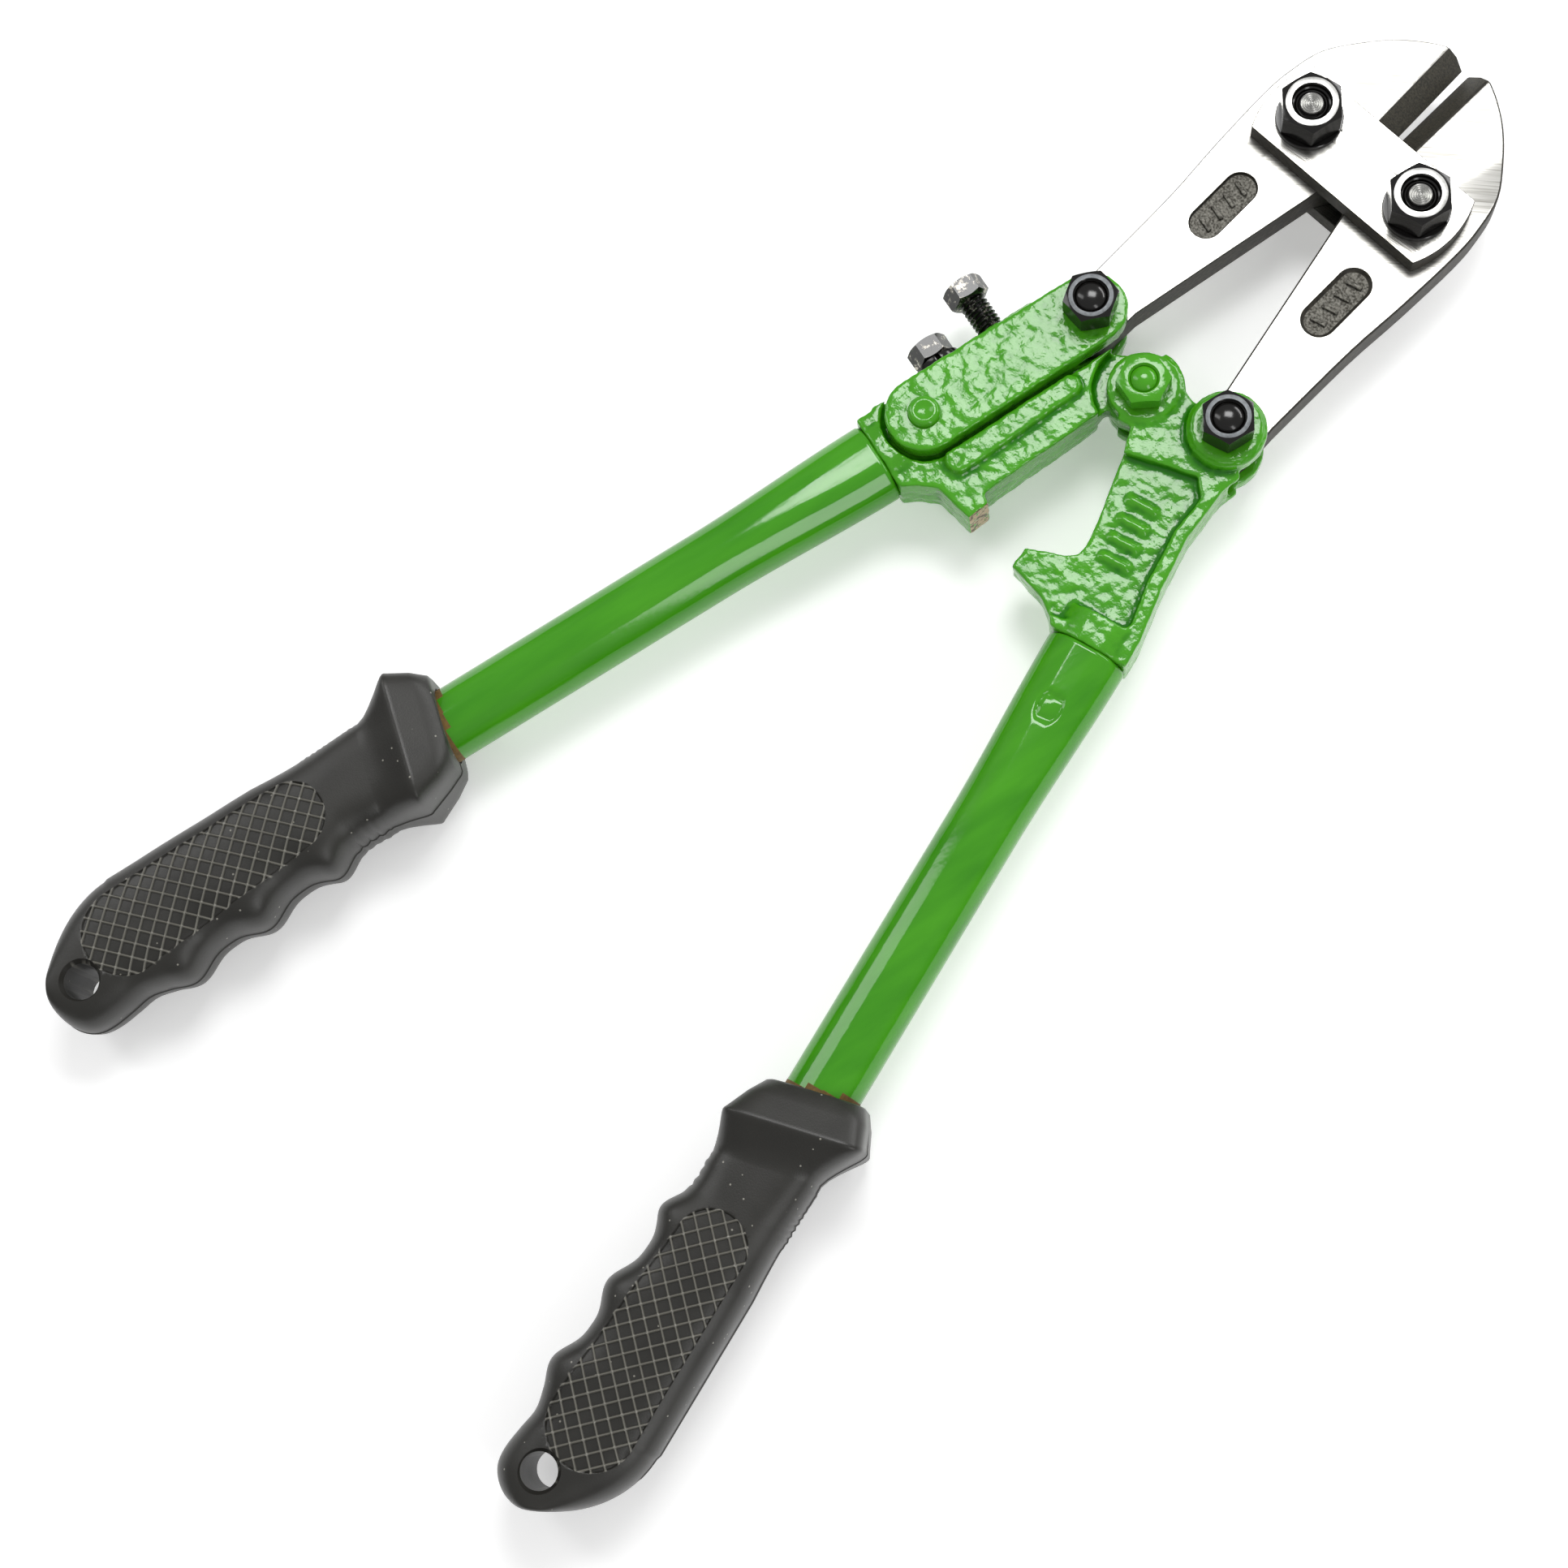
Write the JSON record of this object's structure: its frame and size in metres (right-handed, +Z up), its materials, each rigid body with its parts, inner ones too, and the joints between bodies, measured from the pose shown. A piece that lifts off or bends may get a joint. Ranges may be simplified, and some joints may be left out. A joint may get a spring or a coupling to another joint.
{
  "type": "bolt cutters",
  "caption": "Hand bolt cutters with two centre-cut steel jaws, head plates, a toggle linkage of castings, oval-ended tube handles and moulded grips.",
  "frame": {"origin": "under the middle of the tool's bounding box, at the height of the lowest bolt heads, with the tool lying flat", "axes": "+Y along the tool towards the jaw tips, +Z up towards the side with the nuts, X across the handles"},
  "size_m": [0.1648, 0.3482, 0.0311],
  "materials": {
    "ground_plate": "ground and lightly polished",
    "ground_jaw": "satin ground faces, dark forged sides",
    "green_enamel": "thick gloss enamel",
    "soft_pvc": "matt moulded soft PVC",
    "washer_steel": "plain steel",
    "black_oxide": "black oxide, semi-gloss"
  },
  "bodies": {
    "head": {"front_plate": "ground_plate", "rear_plate": "ground_plate", "jaw_bolt_a": "black_oxide", "jaw_bolt_b": "black_oxide", "jaw_nut_a": "black_oxide", "jaw_nut_b": "black_oxide", "jaw_washer_a": "washer_steel", "jaw_washer_b": "washer_steel"},
    "jaw_a": {"jaw_a": "ground_jaw"},
    "jaw_b": {"jaw_b": "ground_jaw"},
    "link": {"adjusting_link": "green_enamel", "tail_bolt_a": "black_oxide", "tail_nut_a": "black_oxide", "lock_washer": "black_oxide", "spring_washer": "black_oxide"},
    "handle_a": {"casting_a": "green_enamel", "link_rivet": "green_enamel", "tube_a": "green_enamel", "grip_a": "soft_pvc"},
    "handle_b": {"casting_b": "green_enamel", "tail_bolt_b": "black_oxide", "tail_nut_b": "black_oxide", "pivot_bolt": "green_enamel", "pivot_nut": "green_enamel", "tube_b": "green_enamel", "grip_b": "soft_pvc"},
    "adjusting_screw": {"adjusting_screw": "black_oxide"},
    "lock_bolt": {"lock_bolt": "black_oxide"}
  },
  "joints": [
    {"name": "jaw_a_pivot", "type": "hinge", "parent": "head", "child": "jaw_a", "pos_m": [-0.0149, 0.14058, 0.0145], "axis": [0, 0, 1], "range_deg": [-1.02, 3.25]},
    {"name": "jaw_b_pivot", "type": "hinge", "parent": "head", "child": "jaw_b", "pos_m": [0.0149, 0.14058, 0.0145], "axis": [0, 0, -1], "range_deg": [-1.02, 3.25]},
    {"name": "handle_a_pivot", "type": "hinge", "parent": "jaw_a", "child": "link", "pos_m": [-0.01912, 0.07952, 0.0145], "axis": [0, 0, -1], "range_deg": [-9.7, 31.22]},
    {"name": "handle_b_pivot", "type": "hinge", "parent": "jaw_b", "child": "handle_b", "pos_m": [0.01912, 0.07952, 0.0145], "axis": [0, 0, 1], "range_deg": [-9.72, 31.24]},
    {"name": "link_adjustment", "type": "hinge", "parent": "link", "child": "handle_a", "pos_m": [-0.02827, 0.03956, 0.0145], "axis": [0, 0, 1], "range_deg": [-0.8, 0.8]},
    {"name": "adjusting_screw_turn", "type": "hinge", "parent": "link", "child": "adjusting_screw", "pos_m": [-0.04049, 0.06595, 0.0145], "axis": [-0.9748, 0.2233, 0], "range_deg": [-120, 120]},
    {"name": "lock_bolt_turn", "type": "hinge", "parent": "link", "child": "lock_bolt", "pos_m": [-0.03665, 0.05132, 0.0145], "axis": [-0.9748, 0.2233, 0], "range_deg": [0, 360]}
  ],
  "couplings": [
    {"joint": "handle_b_pivot", "follows": "handle_a_pivot", "ratio": 1},
    {"joint": "jaw_a_pivot", "follows": "handle_a_pivot", "ratio": 0.10314},
    {"joint": "jaw_b_pivot", "follows": "handle_a_pivot", "ratio": 0.10314},
    {"joint": "adjusting_screw_turn", "follows": "link_adjustment", "ratio": 144.5}
  ]
}
